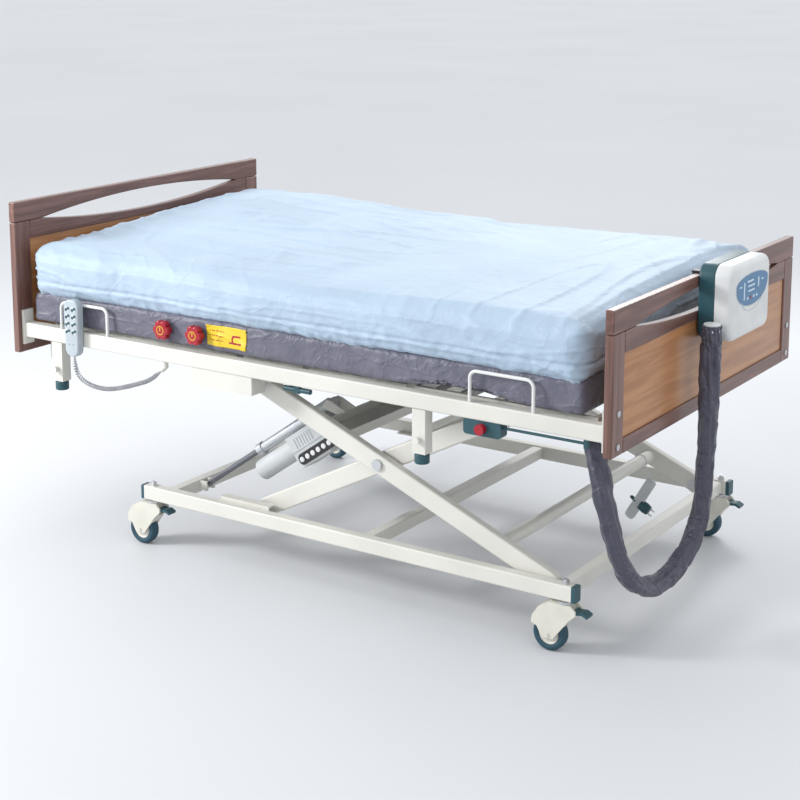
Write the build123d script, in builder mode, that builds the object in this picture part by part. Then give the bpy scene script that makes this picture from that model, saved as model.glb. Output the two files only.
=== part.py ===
from build123d import *
import os
from math import cos, radians, sin, sqrt, tan

# Adjustable hospital bed. Millimetres, +X to the foot end, +Z up, origin on the floor at the centre.

os.makedirs("parts", exist_ok=True)

SIDES = (-1, 1)

# Height of the main levels
BASE_Z = (155, 202)
CROSS_Z = (632, 668)
RAIL_Z = (648, 696)
SECTION_Z = (672, 697)
HINGE_Z = 685
MATTRESS_Z = (700, 972)

# Base frame and casters
BASE_X = (-613, 944)
BASE_Y = (519, 554)
BASE_TRACK_X = (-320, -130)
STEM_X = (-585, 920)
STEM_Y = 536.5
STEM_RADIUS = 6
WHEEL_RADIUS = 50
WHEEL_HALF = 15
TRAIL = 45
AXLE_RADIUS = 5
RUNNING_GAP = 0.05

# Scissor: outer arms turn on the base, inner arms hang from the upper frame
OUTER_Y = (485, 515)
INNER_Y = (440, 470)
ARM_HEIGHT = 60
PIN_RADIUS = 10
FOOT_PIVOT = (850, 185)
TOP_SLIDE = (-204, 620)
FRAME_PIVOT = (664.6, 620)
BASE_SLIDE = (-185, 185)
CROSSING = (276.9, 421.6)
SLIDE_PAD_RADIUS = 13

# Lift actuator
LIFT_Y = -385
LIFT_START = (-487, 182)
LIFT_END = (20, 540)

# Upper frame
RAIL_X = (-1060, 1060)
RAIL_Y = (575, 615)
SOCKET_X = (-920, 485)
POLE_X = -1030
POLE_Y = 500
POLE_BORE = 17
TRACK_X = (-353, -115)

# Mattress support sections and their hinges
BACK_HINGE = -200
THIGH_HINGE = 50
KNEE_HINGE = 420
SECTION_Y = 560
SLAT = 14
HINGE_OFFSETS = (-400, 0, 400)
HINGE_PIN = 6
KNUCKLE = 11
MATTRESS_X = (-1040, 990)
MATTRESS_Y = 600

# Handset cord, from the handset to its gland under the side rail
CORD_RADIUS = 8
CORD_ROUTE = [
    (-825, -632, 620), (-825, -632, 578), (-798, -631, 545), (-748, -628, 528), (-690, -624, 527),
    (-632, -619, 541), (-574, -613, 560), (-520, -606, 580), (-482, -600, 616),
]

# Head and foot boards
BOARD_OUTER = 1096
BOARD_THICK = 26
BOARD_Y = 635
STILE = 68
TOP_RAIL = 67
SECOND_RAIL = 60
BOTTOM_RAIL = 42
HANDLE_HALF = (510, 35)
HEADBOARD_Z = (596, 1098)
FOOTBOARD_Z = (614, 1014)


def save(piece, name):
    piece.part.label = name
    export_step(piece.part, f"parts/{name}.step")


def mirrored(span, side):
    """Return a (low, high) span on the chosen side of the middle plane."""
    return tuple(sorted((side * span[0], side * span[1])))


def block(x, y, z, mode=Mode.ADD):
    """A box given by its (low, high) spans."""
    with Locations(((x[0] + x[1]) / 2, (y[0] + y[1]) / 2, (z[0] + z[1]) / 2)):
        Box(x[1] - x[0], y[1] - y[0], z[1] - z[0], mode=mode)


def rod(start, end, radius, mode=Mode.ADD):
    """A round bar from one point to another."""
    axis = Vector(*end) - Vector(*start)
    with BuildSketch(Plane(origin=start, z_dir=axis)) as section:
        Circle(radius)
    extrude(section.sketch, amount=axis.length, mode=mode)


def pin(centre, y, radius, mode=Mode.ADD):
    """A round bar across the bed at an (x, z) centre, over a (low, high) span of y."""
    rod((centre[0], y[0], centre[1]), (centre[0], y[1], centre[1]), radius, mode)


def outline(points, y, mode=Mode.ADD):
    """A plate whose outline is drawn in x and z, over a (low, high) span of y."""
    with BuildSketch(Plane(origin=(0, y[1], 0), x_dir=(1, 0, 0), z_dir=(0, -1, 0))) as face:
        Polygon(*points, align=None)
    extrude(face.sketch, amount=y[1] - y[0], mode=mode)


def tube_between(start, end, width, height, wall):
    """A rectangular tube from one point to another, its width measured across the bed."""
    axis = Vector(*end) - Vector(*start)
    across = (1, 0, 0) if abs(axis.Y) > abs(axis.X) else (0, 1, 0)
    with BuildSketch(Plane(origin=start, x_dir=across, z_dir=axis)) as section:
        RectangleRounded(width, height, 2 * wall)
        RectangleRounded(width - 2 * wall, height - 2 * wall, wall, mode=Mode.SUBTRACT)
    extrude(section.sketch, amount=axis.length)


def bent_wire(points, radius, bend):
    """A round wire along straight runs joined by arcs."""
    with BuildLine() as path:
        FilletPolyline(*points, radius=bend)
    first = Vector(*points[1]) - Vector(*points[0])
    with BuildSketch(Plane(origin=points[0], z_dir=first)) as section:
        Circle(radius)
    sweep(section.sketch, path=path.wires()[0])


def along(start, end, distance, drop=0.0):
    """A point in the x-z plane: a distance along a line, and then below it."""
    length = sqrt((end[0] - start[0]) ** 2 + (end[1] - start[1]) ** 2)
    ux = (end[0] - start[0]) / length
    uz = (end[1] - start[1]) / length
    return (start[0] + ux * distance + uz * drop, start[1] + uz * distance - ux * drop)


# ---------------------------------------------------------------- base
with BuildPart() as base_side_rails:
    for side in SIDES:
        middle = (BASE_Y[0] + BASE_Y[1]) / 2 * side
        level = (BASE_Z[0] + BASE_Z[1]) / 2
        tube_between(
            (BASE_X[0], middle, level), (BASE_X[1], middle, level),
            BASE_Y[1] - BASE_Y[0], BASE_Z[1] - BASE_Z[0], 2.5,
        )
        for x in STEM_X:
            rod((x, middle, BASE_Z[0] - 5), (x, middle, BASE_Z[1] + 5), STEM_RADIUS + 0.2, Mode.SUBTRACT)
        block(BASE_TRACK_X, mirrored((514, 519), side), (158, 212))
        block(BASE_TRACK_X, mirrored((488, 514), side), (158, 164))
        block(BASE_TRACK_X, mirrored((488, 514), side), (206, 212))
save(base_side_rails, "base_side_rails")

BASE_BARS = ((-540, -500), (225, 265), (890, 930))
with BuildPart() as base_crossbars:
    for low, high in BASE_BARS:
        tube_between(
            ((low + high) / 2, -BASE_Y[0], 178), ((low + high) / 2, BASE_Y[0], 178),
            high - low, 40, 3,
        )
    for y in ((LIFT_Y - 22, LIFT_Y - 13), (LIFT_Y + 13, LIFT_Y + 22)):
        block((-500, -474), y, (166, 197))
    pin(LIFT_START, (LIFT_Y - 26, LIFT_Y + 26), 6)
save(base_crossbars, "base_crossbars")

with BuildPart() as base_end_caps:
    for side in SIDES:
        block((BASE_X[1], BASE_X[1] + 12), mirrored(BASE_Y, side), BASE_Z)
        block((BASE_X[0] - 12, BASE_X[0]), mirrored(BASE_Y, side), BASE_Z)
    fillet(base_end_caps.edges().filter_by(Axis.X), 4)
save(base_end_caps, "base_end_caps")

with BuildPart() as arm_base_pins:
    for side in SIDES:
        pin(FOOT_PIVOT, mirrored((479, 519), side), PIN_RADIUS)
        pin(FOOT_PIVOT, mirrored((471, 479), side), 16)
save(arm_base_pins, "arm_base_pins")

with BuildPart() as caster_stems:
    for x in STEM_X:
        for side in SIDES:
            y = STEM_Y * side
            rod((x, y, 114), (x, y, 216), STEM_RADIUS)
            rod((x, y, 148), (x, y, BASE_Z[0]), 24)
            rod((x, y, 108), (x, y, 114), 10)
            with BuildSketch(Plane.XY.offset(BASE_Z[1])) as nut:
                with Locations((x, y)):
                    RegularPolygon(11, 6)
            extrude(nut.sketch, amount=10)
save(caster_stems, "caster_stems")


def make_caster(number, x, y):
    """A fork with its wheel and brake pedal, trailing towards the head end."""
    axle = (x - TRAIL, WHEEL_RADIUS)
    pedal_pin = (x + 33, 128)
    with BuildPart() as fork:
        hood = [
            (x - 62, 40), (x - 28, 40), (x + 22, 106), (x + 41, 122), (x + 41, 134), (x + 26, 147.5),
            (x - 40, 147.5), (x - 74, 128), (x - 94, 98), (x - 96, 76), (x - 78, 70),
        ]
        outline(hood, (y - 24, y + 24))
        with BuildSketch(Plane(origin=(axle[0], y, axle[1]), z_dir=(0, 1, 0))) as well:
            Circle(WHEEL_RADIUS + 5)
        extrude(well.sketch, amount=18, both=True, mode=Mode.SUBTRACT)
        block((x - 100, x + 14), (y - 18, y + 18), (30, 60), Mode.SUBTRACT)
        rod((x, y, 100), (x, y, 115), 14, Mode.SUBTRACT)
        rod((x, y, 114), (x, y, 150), STEM_RADIUS + RUNNING_GAP, Mode.SUBTRACT)
        block((x + 22, x + 50), (y - 18, y + 18), (110, 150), Mode.SUBTRACT)
        pin(axle, (y - 28, y + 28), AXLE_RADIUS)
        pin(pedal_pin, (y - 24, y + 24), 3)
    save(fork, f"caster_fork_{number}")
    with BuildPart() as wheel:
        with BuildSketch(Plane(origin=(axle[0], y, axle[1]), x_dir=(0, 0, 1), z_dir=(1, 0, 0))):
            with BuildLine():
                Polyline(
                    (AXLE_RADIUS + RUNNING_GAP, -17), (13, -17), (16, -8), (34, -8), (37, -WHEEL_HALF),
                    (46, -WHEEL_HALF),
                )
                ThreePointArc((46, -WHEEL_HALF), (WHEEL_RADIUS, 0), (46, WHEEL_HALF))
                Polyline(
                    (46, WHEEL_HALF), (37, WHEEL_HALF), (34, 8), (16, 8), (13, 17),
                    (AXLE_RADIUS + RUNNING_GAP, 17), (AXLE_RADIUS + RUNNING_GAP, -17),
                )
            make_face()
        revolve(axis=Axis((axle[0], y, axle[1]), (0, 1, 0)))
    save(wheel, f"caster_wheel_{number}")
    with BuildPart() as pedal:
        pin(pedal_pin, (y - 17, y + 17), 6)
        outline(
            [(x + 33, 131), (x + 60, 134), (x + 76, 126), (x + 74, 119), (x + 58, 126), (x + 33, 123)],
            (y - 17, y + 17),
        )
        pin(pedal_pin, (y - 20, y + 20), 3 + RUNNING_GAP, Mode.SUBTRACT)
    save(pedal, f"brake_pedal_{number}")


for number, (x, side) in enumerate([(STEM_X[0], -1), (STEM_X[1], -1), (STEM_X[0], 1), (STEM_X[1], 1)], 1):
    make_caster(number, x, STEM_Y * side)

# ---------------------------------------------------------------- scissor
TIE_AT = along(FOOT_PIVOT, TOP_SLIDE, 178)
with BuildPart() as outer_scissor_frame:
    for side in SIDES:
        y_low, y_high = mirrored(OUTER_Y, side)
        y = (y_low + y_high) / 2
        tube_between(
            (FOOT_PIVOT[0], y, FOOT_PIVOT[1]), (TOP_SLIDE[0], y, TOP_SLIDE[1]), 30, ARM_HEIGHT, 3
        )
        pin(FOOT_PIVOT, (y_low, y_high), ARM_HEIGHT / 2)
        pin(TOP_SLIDE, (y_low, y_high), ARM_HEIGHT / 2)
        pin(CROSSING, (y_low - 1, y_high + 1), 8.2, Mode.SUBTRACT)
        pin(FOOT_PIVOT, (y_low - 1, y_high + 1), PIN_RADIUS + RUNNING_GAP, Mode.SUBTRACT)
    lift = 20
    outline(
        [
            along(FOOT_PIVOT, TOP_SLIDE, 771, -8 - lift), along(FOOT_PIVOT, TOP_SLIDE, 851, -8 - lift),
            along(FOOT_PIVOT, TOP_SLIDE, 851, -8 + lift), along(FOOT_PIVOT, TOP_SLIDE, 771, -8 + lift),
        ],
        (-OUTER_Y[0], OUTER_Y[0]),
    )
    outline(
        [
            along(FOOT_PIVOT, TOP_SLIDE, 775, -4 - lift), along(FOOT_PIVOT, TOP_SLIDE, 847, -4 - lift),
            along(FOOT_PIVOT, TOP_SLIDE, 847, lift), along(FOOT_PIVOT, TOP_SLIDE, 775, lift),
        ],
        (4 - OUTER_Y[0], OUTER_Y[0] - 4), Mode.SUBTRACT,
    )
    pin(TIE_AT, (-OUTER_Y[0], OUTER_Y[0]), 20)
    for y in ((LIFT_Y - 30, LIFT_Y - 23), (LIFT_Y + 23, LIFT_Y + 30)):
        outline([(2, 530), (20, 556), (38, 552), (90, 528), (62, 512), (30, 522)], y)
save(outer_scissor_frame, "outer_scissor_frame")

with BuildPart() as crossing_bolts:
    for side in SIDES:
        pin(CROSSING, mirrored((433, 522), side), 8)
        pin(CROSSING, mirrored((515.2, 523), side), 17)
        pin(CROSSING, mirrored((425, 434), side), 20)
save(crossing_bolts, "crossing_bolts")

with BuildPart() as top_slide_pads:
    for side in SIDES:
        pin(TOP_SLIDE, mirrored((515, 590), side), SLIDE_PAD_RADIUS)
save(top_slide_pads, "top_slide_pads")

with BuildPart() as inner_scissor_frame:
    for side in SIDES:
        y_low, y_high = mirrored(INNER_Y, side)
        y = (y_low + y_high) / 2
        tube_between(
            (FRAME_PIVOT[0], y, FRAME_PIVOT[1]), (BASE_SLIDE[0], y, BASE_SLIDE[1]), 30, ARM_HEIGHT, 3
        )
        pin(FRAME_PIVOT, (y_low, y_high), ARM_HEIGHT / 2)
        pin(BASE_SLIDE, (y_low, y_high), 24)
        pin(CROSSING, (y_low - 1, y_high + 1), 15, Mode.SUBTRACT)
        pin(FRAME_PIVOT, (y_low - 1, y_high + 1), PIN_RADIUS + RUNNING_GAP, Mode.SUBTRACT)
    pin(along(FRAME_PIVOT, BASE_SLIDE, 600), (-INNER_Y[0], INNER_Y[0]), 19)
save(inner_scissor_frame, "inner_scissor_frame")

with BuildPart() as base_slide_pads:
    for side in SIDES:
        pin(BASE_SLIDE, mirrored((470, 512), side), SLIDE_PAD_RADIUS)
save(base_slide_pads, "base_slide_pads")

# ---------------------------------------------------------------- lift actuator
TUBE_FROM = 270
TUBE_TO = 500
ROD_TO = 330


def lift_point(distance, drop=0.0):
    x, z = along(LIFT_START, LIFT_END, distance, drop)
    return (x, LIFT_Y, z)


LIFT_LENGTH = sqrt((LIFT_END[0] - LIFT_START[0]) ** 2 + (LIFT_END[1] - LIFT_START[1]) ** 2)
with BuildPart() as lift_actuator_rod:
    rod(lift_point(8), lift_point(ROD_TO), 10)
    pin(LIFT_START, (LIFT_Y - 11, LIFT_Y + 11), 11)
    pin(LIFT_START, (LIFT_Y - 12, LIFT_Y + 12), 6 + RUNNING_GAP, Mode.SUBTRACT)
save(lift_actuator_rod, "lift_actuator_rod")

with BuildPart() as lift_actuator_tube:
    rod(lift_point(TUBE_FROM), lift_point(TUBE_TO), 17)
    rod(lift_point(TUBE_FROM), lift_point(TUBE_FROM + 22), 20)
    rod(lift_point(TUBE_FROM - 1), lift_point(TUBE_TO - 4), 10 + RUNNING_GAP, Mode.SUBTRACT)
save(lift_actuator_tube, "lift_actuator_tube")

with BuildPart() as lift_motor_housing:
    rod(lift_point(TUBE_TO), lift_point(LIFT_LENGTH - 8), 20)
    pin(LIFT_END, (LIFT_Y - 18, LIFT_Y + 18), 15)
    pin(LIFT_END, (LIFT_Y - 19, LIFT_Y + 19), 6, Mode.SUBTRACT)
    rod(lift_point(246, 60), lift_point(424, 60), 34)
    outline(
        [
            along(LIFT_START, LIFT_END, 420, 21), along(LIFT_START, LIFT_END, 596, 21),
            along(LIFT_START, LIFT_END, 604, 60), along(LIFT_START, LIFT_END, 560, 128),
            along(LIFT_START, LIFT_END, 424, 128),
        ],
        (LIFT_Y - 44, LIFT_Y + 44),
    )
    rod(lift_point(TUBE_TO - 6), lift_point(TUBE_TO), 24)
    rod(lift_point(TUBE_TO - 8), lift_point(TUBE_TO), 17.2, Mode.SUBTRACT)
save(lift_motor_housing, "lift_motor_housing")

# ---------------------------------------------------------------- upper frame
with BuildPart() as side_rails:
    for side in SIDES:
        middle = (RAIL_Y[0] + RAIL_Y[1]) / 2 * side
        level = (RAIL_Z[0] + RAIL_Z[1]) / 2
        tube_between((RAIL_X[0], middle, level), (RAIL_X[1], middle, level), 40, 48, 2.5)
        block(TRACK_X, mirrored((545, 612), side), (592, RAIL_Z[0]))
        block((TRACK_X[0] + 8, TRACK_X[1] - 8), mirrored((540, 602), side), (600, 640), Mode.SUBTRACT)
    cord_end = Vector(*CORD_ROUTE[-1])
    bend = cord_end + (cord_end - Vector(*CORD_ROUTE[-2])).normalized() * 20
    rod(cord_end, bend, 9)
    rod((bend.X, bend.Y, bend.Z - 4), (bend.X, bend.Y, RAIL_Z[0]), 9)
save(side_rails, "side_rails")

FRAME_BARS = ((-985, -945), (-110, -70), (0, 40), (700, 740), (1034, 1060))
with BuildPart() as frame_crossbars:
    for low, high in FRAME_BARS:
        tube_between(
            ((low + high) / 2, -RAIL_Y[0], sum(CROSS_Z) / 2), ((low + high) / 2, RAIL_Y[0], sum(CROSS_Z) / 2),
            high - low, CROSS_Z[1] - CROSS_Z[0], 2.5,
        )
    for side in SIDES:
        outline(
            [(700, 668), (740, 668), (740, 640), (700, 598), (640, 598), (640, 642), (700, 646)],
            mirrored((474, 482), side),
        )
        pin(FRAME_PIVOT, mirrored((432, 474), side), PIN_RADIUS)
        pin(FRAME_PIVOT, mirrored((424, 433), side), 16)
    for y in ((136, 144), (196, 204)):
        outline([(-985, 664), (-955, 632), (-985, 580), (-1006, 580), (-1006, 620)], y)
    for y in ((-180, -172), (-128, -120)):
        outline([(700, 660), (700, 640), (664, 612), (640, 612), (640, 634), (668, 648)], y)
save(frame_crossbars, "frame_crossbars")

with BuildPart() as frame_sockets:
    for x in SOCKET_X:
        for side in SIDES:
            block((x - 22, x + 22), mirrored((577, 615), side), (518, RAIL_Z[0]))
            rod((x, 596 * side, 500), (x, 596 * side, 560), 6.2, Mode.SUBTRACT)
            rod((x, 615 * side, 560), (x, 627 * side, 560), 9)
            rod((x, 627 * side, 560), (x, 633 * side, 560), 11)
    for side in SIDES:
        rod((POLE_X, POLE_Y * side, 556), (POLE_X, POLE_Y * side, 652), 24)
        block((POLE_X + 10, -985), mirrored((POLE_Y - 16, POLE_Y + 16), side), (636, 652))
        rod((POLE_X, POLE_Y * side, 550), (POLE_X, POLE_Y * side, 660), POLE_BORE, Mode.SUBTRACT)
save(frame_sockets, "frame_sockets")

with BuildPart() as clamp_knobs:
    for x in SOCKET_X:
        for side in SIDES:
            rod((x, 596 * side, 487), (x, 596 * side, 516), 22)
    fillet(clamp_knobs.edges().filter_by(GeomType.CIRCLE), 4)
    for x in SOCKET_X:
        for side in SIDES:
            rod((x, 596 * side, 514), (x, 596 * side, 556), 6.2)
save(clamp_knobs, "clamp_knobs")

with BuildPart() as board_brackets:
    for end in SIDES:
        for side in SIDES:
            block(mirrored((1060, 1070), end), mirrored((577, 620), side), (624, 738))
save(board_brackets, "board_brackets")

with BuildPart() as release_housing:
    block((630, 750), (-612, -577), (604, RAIL_Z[0]))
    fillet(release_housing.edges().filter_by(Axis.Y), 10)
    rod((750, -598, 634), (1000, -598, 634), 4)
    block((1000, 1012), (-606, -590), (622, RAIL_Z[0]))
    rod((0, -598, 634), (96, -598, 634), 8)
    block((40, 58), (-606, -590), (624, RAIL_Z[0]))
save(release_housing, "release_housing")

with BuildPart() as leg_release_knob:
    rod((690, -612.5, 626), (690, -630, 626), 15)
save(leg_release_knob, "leg_release_knob")


def make_board(name, end, z):
    """A framed board with a lens-shaped hand opening under its top rail, and an inset panel."""
    inner = BOARD_OUTER - BOARD_THICK
    joint = z[1] - TOP_RAIL
    panel_z = (z[0] + BOTTOM_RAIL, joint - SECOND_RAIL)
    plane = Plane(origin=(inner * end, 0, 0), x_dir=(0, end, 0), z_dir=(end, 0, 0))
    with BuildPart() as frame:
        with BuildSketch(plane):
            with Locations((0, (z[0] + z[1]) / 2)):
                RectangleRounded(2 * BOARD_Y, z[1] - z[0], 10)
            with Locations((0, (panel_z[0] + panel_z[1]) / 2)):
                Rectangle(2 * (BOARD_Y - STILE), panel_z[1] - panel_z[0], mode=Mode.SUBTRACT)
        extrude(amount=BOARD_THICK)
        with BuildSketch(plane):
            with BuildLine():
                ThreePointArc((-HANDLE_HALF[0], joint), (0, joint + HANDLE_HALF[1]), (HANDLE_HALF[0], joint))
                ThreePointArc((HANDLE_HALF[0], joint), (0, joint - HANDLE_HALF[1]), (-HANDLE_HALF[0], joint))
            make_face()
        extrude(amount=BOARD_THICK, mode=Mode.SUBTRACT)
        outside = frame.edges().filter_by(Axis.Z).filter_by(lambda e: abs(abs(e.center().Y) - BOARD_Y) < 1)
        fillet(outside, 6)
    save(frame, f"{name}_frame")
    with BuildPart() as panel:
        middle = (inner + BOARD_THICK / 2) * end
        block(
            (middle - 7, middle + 7), (STILE - BOARD_Y, BOARD_Y - STILE), panel_z,
        )
    save(panel, f"{name}_panel")


make_board("headboard", -1, HEADBOARD_Z)
make_board("footboard", 1, FOOTBOARD_Z)

with BuildPart() as board_bolts:
    for end in SIDES:
        for side in SIDES:
            for z in (640, 731):
                rod((BOARD_OUTER * end, 600 * side, z), ((BOARD_OUTER + 3) * end, 600 * side, z), 9)
save(board_bolts, "board_bolts")

HOOP_X = ((-900, -700), (648, 848))
with BuildPart() as mattress_hoops:
    for low, high in HOOP_X:
        for side in SIDES:
            y = 608 * side
            bent_wire(
                [(low, y, RAIL_Z[1]), (low, y, 785), (high, y, 785), (high, y, RAIL_Z[1])], 5, 22
            )
save(mattress_hoops, "mattress_hoops")


# ---------------------------------------------------------------- mattress support sections
def grille(x, pockets):
    """A flat section frame with cross slats, as wide as the gap between the side rails."""
    block(x, (-SECTION_Y, SECTION_Y), SECTION_Z)
    pitch = (x[1] - x[0] - SLAT) / pockets
    with BuildSketch(Plane(origin=((x[0] + x[1]) / 2, 0, SECTION_Z[0]))) as gaps:
        with GridLocations(pitch, SECTION_Y, pockets, 2):
            Rectangle(pitch - SLAT, SECTION_Y - 28)
    extrude(gaps.sketch, amount=SECTION_Z[1] - SECTION_Z[0], mode=Mode.SUBTRACT)


def hinge_lugs(hinge, edge):
    """Pairs of lugs with their pin, on the section that carries the hinge."""
    for offset in HINGE_OFFSETS:
        for y in ((offset - 22, offset - 14), (offset + 14, offset + 22)):
            pin((hinge, HINGE_Z), y, 10)
            block((min(hinge, edge), max(hinge, edge)), y, (HINGE_Z - 10, HINGE_Z + 10))
        pin((hinge, HINGE_Z), (offset - 22, offset + 22), HINGE_PIN)


def hinge_knuckles(hinge, edge):
    """Knuckles between the lugs, on the section that turns."""
    for offset in HINGE_OFFSETS:
        y = (offset - 13, offset + 13)
        pin((hinge, HINGE_Z), y, KNUCKLE)
        block((min(hinge, edge), max(hinge, edge)), y, (HINGE_Z - KNUCKLE, HINGE_Z + KNUCKLE))
        pin((hinge, HINGE_Z), (y[0] - 1, y[1] + 1), HINGE_PIN + RUNNING_GAP, Mode.SUBTRACT)


BACK_LEVER = (BACK_HINGE + 20, 580)
THIGH_LEVER = (THIGH_HINGE, 630)
with BuildPart() as seat_section:
    grille((BACK_HINGE + 13, THIGH_HINGE - 13), 1)
    hinge_lugs(BACK_HINGE, BACK_HINGE + 13)
    hinge_lugs(THIGH_HINGE, THIGH_HINGE - 13)
    for side in SIDES:
        block((-105, -75), mirrored((546, 560), side), (CROSS_Z[1], SECTION_Z[0]))
        block((5, 35), mirrored((546, 560), side), (CROSS_Z[1], SECTION_Z[0]))
save(seat_section, "seat_section")

with BuildPart() as backrest_section:
    grille((-1010, BACK_HINGE - 13), 6)
    hinge_knuckles(BACK_HINGE, BACK_HINGE - 13)
    for side in SIDES:
        block((-1011, POLE_X + 52), mirrored((POLE_Y - 32, SECTION_Y + 1), side), SECTION_Z, Mode.SUBTRACT)
    for y in ((156, 162), (178, 184)):
        outline(
            [(-240, 672), (-213, 672), (-168, 588), (-172, 570), (-188, 570), (-192, 580)], y
        )
save(backrest_section, "backrest_section")

with BuildPart() as thigh_section:
    grille((THIGH_HINGE + 13, KNEE_HINGE - 13), 2)
    hinge_knuckles(THIGH_HINGE, THIGH_HINGE + 13)
    hinge_lugs(KNEE_HINGE, KNEE_HINGE - 13)
    for y in ((-164, -158), (-142, -136)):
        outline([(63, 672), (90, 672), (60, 623), (42, 621), (40, 638)], y)
save(thigh_section, "thigh_section")

with BuildPart() as leg_section:
    grille((KNEE_HINGE + 13, 1018), 4)
    hinge_knuckles(KNEE_HINGE, KNEE_HINGE + 13)
save(leg_section, "leg_section")

# ---------------------------------------------------------------- section actuators
BACK_PIVOT = (-1000, 600)
LEG_PIVOT = (650, 624)


def make_section_actuator(name, y, pivot, lever, reach, tube, radius):
    """A slim actuator: a body held at its pivot, and a rod whose eye ends beside the lever."""
    length = sqrt((lever[0] - pivot[0]) ** 2 + (lever[1] - pivot[1]) ** 2)

    def place(distance):
        x, z = along(pivot, lever, distance)
        return (x, y, z)

    with BuildPart() as body:
        pin(pivot, (y - radius - 1, y + radius + 1), 11)
        rod(place(8), place(reach), radius)
        rod(place(reach), place(tube), 13)
        rod(place(60), place(tube + 1), 8 + RUNNING_GAP, Mode.SUBTRACT)
        pin(pivot, (y - radius - 2, y + radius + 2), 6, Mode.SUBTRACT)
    save(body, f"{name}_actuator_body")
    with BuildPart() as plunger:
        rod(place(tube - 45), place(length - 6), 8)
        pin(lever, (y - 6, y + 6), 10)
    save(plunger, f"{name}_actuator_rod")


make_section_actuator("back", 170, BACK_PIVOT, BACK_LEVER, 420, 640, 24)
make_section_actuator("leg", -150, LEG_PIVOT, THIGH_LEVER, 250, 430, 20)

# ---------------------------------------------------------------- mattress
BACK_NOTCH = 52
SEAT_NOTCH = 21
THIGH_NOTCH = 18.5
DECK_SWEEP = 3  # the raised deck's hinge edge swings this far past the hinge line


def notch(hinge, angle, z):
    """Where a slanted mattress end is at a height, for a cut that opens upwards from its hinge."""
    return hinge + (z - HINGE_Z) * tan(radians(angle))


def mattress_block(name, foot_low, foot_high, head_low, head_high):
    z_low, z_high = MATTRESS_Z
    with BuildPart() as foam:
        outline(
            [(head_low, z_low), (foot_low, z_low), (foot_high, z_high), (head_high, z_high)],
            (-MATTRESS_Y, MATTRESS_Y),
        )
    save(foam, name)


Z_LOW, Z_HIGH = MATTRESS_Z
mattress_block(
    "mattress_back", notch(BACK_HINGE, -BACK_NOTCH, Z_LOW), notch(BACK_HINGE, -BACK_NOTCH, Z_HIGH),
    MATTRESS_X[0], MATTRESS_X[0],
)
mattress_block(
    "mattress_seat", notch(THIGH_HINGE, -THIGH_NOTCH, Z_LOW), notch(THIGH_HINGE, -THIGH_NOTCH, Z_HIGH),
    notch(BACK_HINGE + DECK_SWEEP, SEAT_NOTCH, Z_LOW), notch(BACK_HINGE + DECK_SWEEP, SEAT_NOTCH, Z_HIGH),
)
mattress_block(
    "mattress_thigh", KNEE_HINGE - 2, KNEE_HINGE - 2,
    notch(THIGH_HINGE, THIGH_NOTCH, Z_LOW), notch(THIGH_HINGE, THIGH_NOTCH, Z_HIGH),
)
mattress_block("mattress_leg", MATTRESS_X[1], MATTRESS_X[1], KNEE_HINGE + 2, KNEE_HINGE + 2)

KNOB_X = (-466, -336)
for number, x in enumerate(KNOB_X, 1):
    with BuildPart() as valve_knob:
        with BuildSketch(Plane(origin=(x, -MATTRESS_Y - 0.5, 750), x_dir=(1, 0, 0), z_dir=(0, -1, 0))):
            Circle(24)
            with PolarLocations(24, 6):
                Circle(8)
        extrude(amount=21)
    save(valve_knob, f"valve_knob_{number}")

# ---------------------------------------------------------------- air pump on the foot board
PUMP_Y = (-110, 175)
PUMP_Z = (830, 1055)
PUMP_SPLIT = 1146
PUMP_FRONT = 1200
WALL = 3
PUMP_BACK = BOARD_OUTER + 1


def make_shell(name, x, open_x):
    """Half of the pump's case: a rounded box hollowed from its open side."""
    middle = (sum(PUMP_Y) / 2, sum(PUMP_Z) / 2)
    size = (PUMP_Y[1] - PUMP_Y[0], PUMP_Z[1] - PUMP_Z[0])
    with BuildPart() as shell:
        with BuildSketch(Plane.YZ.offset(x[0])):
            with Locations(middle):
                RectangleRounded(size[0], size[1], 28)
        extrude(amount=x[1] - x[0])
        with BuildSketch(Plane.YZ.offset(open_x[0])):
            with Locations(middle):
                RectangleRounded(size[0] - 2 * WALL, size[1] - 2 * WALL, 25)
        extrude(amount=open_x[1] - open_x[0], mode=Mode.SUBTRACT)
    save(shell, name)


make_shell("pump_rear_shell", (PUMP_BACK, PUMP_SPLIT), (PUMP_BACK + WALL, PUMP_SPLIT))
make_shell("pump_front_shell", (PUMP_SPLIT, PUMP_FRONT), (PUMP_SPLIT, PUMP_FRONT - WALL))

with BuildPart() as pump_compressor:
    block((PUMP_BACK + WALL, 1170), (-60, 120), (870, 980))
save(pump_compressor, "pump_compressor")

HOOK_Y = (-60, 125)
with BuildPart() as pump_hooks:
    for y in HOOK_Y:
        span = (y - 14, y + 14)
        block((PUMP_BACK - 37, PUMP_BACK), span, (FOOTBOARD_Z[1] + 1, FOOTBOARD_Z[1] + 7))
        block((1062, 1069), span, (FOOTBOARD_Z[1] - 26, FOOTBOARD_Z[1] + 1))
        block((1062, 1069), span, (FOOTBOARD_Z[1], FOOTBOARD_Z[1] + 7))
save(pump_hooks, "pump_hooks")

# ---------------------------------------------------------------- hose sleeve
SLEEVE_RADIUS = 28
SLEEVE_ROUTE = [
    (1160, -150, 835), (1160, -150, 650), (1142, -128, 450), (1128, -118, 280), (1108, -240, 175),
    (1092, -415, 172), (1072, -528, 292), (1036, -545, 460), (998, -540, 630),
]


def corner_radii(route):
    """The largest arc that each inner corner's two runs allow."""
    radii = []
    for before, point, after in zip(route, route[1:], route[2:]):
        arriving = Vector(*point) - Vector(*before)
        leaving = Vector(*after) - Vector(*point)
        turn = radians(arriving.get_angle(leaving))
        radii.append(0.45 * min(arriving.length, leaving.length) / tan(turn / 2))
    return radii


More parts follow.
